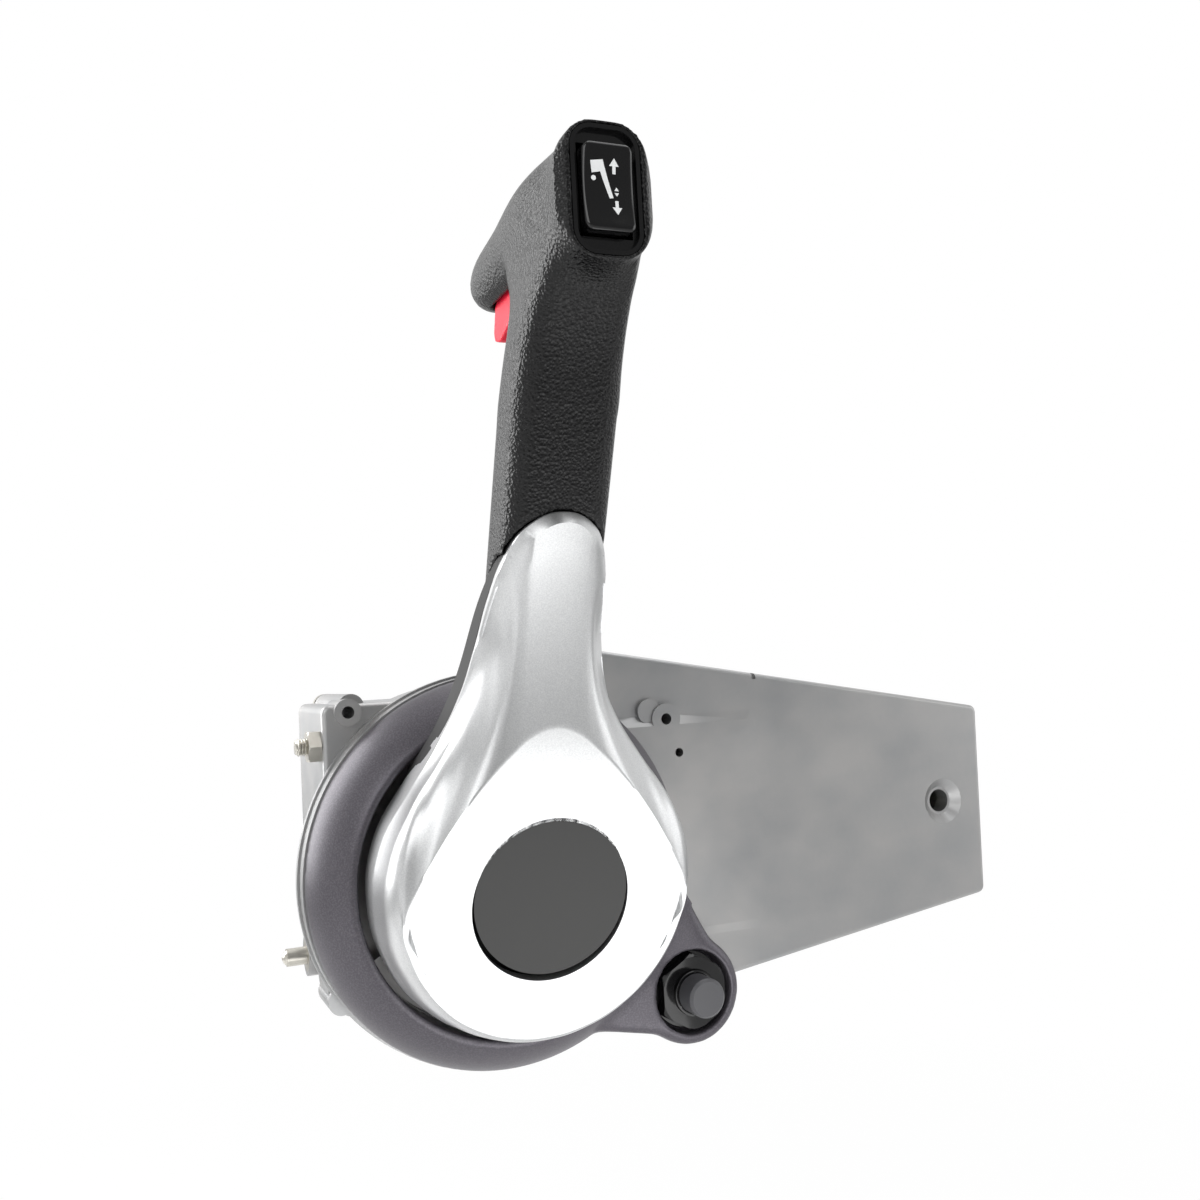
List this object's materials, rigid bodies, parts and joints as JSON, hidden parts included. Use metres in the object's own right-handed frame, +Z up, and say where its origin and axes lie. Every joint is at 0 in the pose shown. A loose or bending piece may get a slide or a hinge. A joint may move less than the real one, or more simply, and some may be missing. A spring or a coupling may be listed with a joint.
{
  "type": "boat throttle control lever",
  "caption": "Side mounted single lever engine control for a boat, with T-bar grip, neutral lock trigger, trim rocker, hub button, flared bezel with stop switch and cast housing behind the panel",
  "frame": {"origin": "on the lever's turning axis, in the plane of the housing faces that bear against the back of the panel", "axes": "+Z up with the lever in neutral, -Y towards the operator, +X aft along the housing"},
  "size_m": [0.2871, 0.1826, 0.2798],
  "materials": {
    "housing_alloy": "satin cast",
    "cover_plate": "satin",
    "bezel_plastic": "satin",
    "silver_paint": "satin metallic",
    "black_plastic": "grained satin",
    "cap_plastic": "satin",
    "gloss_black": "gloss",
    "plunger_plastic": "satin",
    "red_plastic": "satin",
    "zinc_steel": "zinc plated",
    "gear_steel": "machined",
    "core_alloy": "cast",
    "bush_brass": "machined",
    "nylon": "natural"
  },
  "bodies": {
    "housing": {"main_housing": "housing_alloy", "rear_cover": "cover_plate", "rear_cover_screws": "zinc_steel", "front_bush": "bush_brass", "rear_bush": "bush_brass", "pivot_pin": "zinc_steel", "pivot_spacer": "nylon", "friction_shoe": "nylon", "friction_screw": "zinc_steel", "friction_locknut": "zinc_steel", "detent_barrel": "zinc_steel", "detent_spring": "gear_steel", "cable_anchor": "nylon", "cable_anchor_screws": "zinc_steel", "neutral_switch": "black_plastic", "neutral_switch_screws": "zinc_steel", "lock_ring": "gear_steel", "bezel": "bezel_plastic", "bezel_screws": "zinc_steel", "stop_switch_body": "gloss_black", "stop_switch_washer": "gloss_black", "stop_switch_nut": "gloss_black", "stop_spring": "gear_steel"},
    "lever": {"main_shaft": "gear_steel", "friction_drum": "gear_steel", "drive_gear": "gear_steel", "detent_wheel": "gear_steel", "throttle_cam": "gear_steel", "front_cover": "silver_paint", "back_cover": "black_plastic", "lever_cover_screws": "zinc_steel", "grip": "black_plastic", "lever_arm": "core_alloy", "hub_bolt": "zinc_steel", "hub_washer": "zinc_steel", "hub_spring": "gear_steel", "lock_spring": "gear_steel", "switch_frame": "gloss_black", "rocker_pin": "zinc_steel"},
    "trim_rocker": {"trim_rocker": "gloss_black"},
    "lock_release": {"lock_trigger": "red_plastic", "lock_rod": "zinc_steel"},
    "hub_button": {"hub_button": "cap_plastic"},
    "shift_arm": {"shift_sector": "gear_steel", "shift_arm": "gear_steel", "shift_cable_pin": "zinc_steel"},
    "throttle_arm": {"throttle_arm": "gear_steel", "throttle_cable_pin": "zinc_steel", "throttle_roller": "nylon"},
    "detent_plunger": {"detent_plunger": "gear_steel"},
    "stop_plunger": {"stop_plunger": "plunger_plastic"}
  },
  "joints": [
    {"name": "lever_hinge", "type": "hinge", "parent": "housing", "child": "lever", "pos_m": [0, 0, 0], "axis": [0, 1, 0], "range_deg": [-90, 66]},
    {"name": "shift_arm_pivot", "type": "hinge", "parent": "housing", "child": "shift_arm", "pos_m": [0.049, 0.028, 0], "axis": [0, 1, 0], "range_deg": [-26.4, 36]},
    {"name": "throttle_arm_pivot", "type": "hinge", "parent": "housing", "child": "throttle_arm", "pos_m": [0.049, 0.044, 0], "axis": [0, 1, 0], "range_deg": [-19.8, 27]},
    {"name": "trim_rocker_hinge", "type": "hinge", "parent": "lever", "child": "trim_rocker", "pos_m": [0, -0.1218, 0.193], "axis": [1, 0, 0], "range_deg": [-7, 7], "stiffness_Nm_per_rad": 0.2},
    {"name": "lock_release_slide", "type": "slide", "parent": "lever", "child": "lock_release", "axis": [0, -0.3827, 0.9239], "range_m": [0, 0.007], "stiffness_N_per_m": 400, "springref_m": -0.003},
    {"name": "hub_button_slide", "type": "slide", "parent": "lever", "child": "hub_button", "axis": [0, 0.9767, 0.2147], "range_m": [0, 0.004], "stiffness_N_per_m": 800, "springref_m": -0.002},
    {"name": "detent_plunger_slide", "type": "slide", "parent": "housing", "child": "detent_plunger", "axis": [-1, 0, 0], "range_m": [0, 0.002], "stiffness_N_per_m": 2000, "springref_m": -0.002},
    {"name": "stop_plunger_slide", "type": "slide", "parent": "housing", "child": "stop_plunger", "axis": [0, 1, 0], "range_m": [0, 0.0035], "stiffness_N_per_m": 500, "springref_m": -0.003}
  ],
  "couplings": [
    {"joint": "shift_arm_pivot", "follows": "lever_hinge", "ratio": -0.4},
    {"joint": "throttle_arm_pivot", "follows": "lever_hinge", "ratio": -0.3}
  ]
}
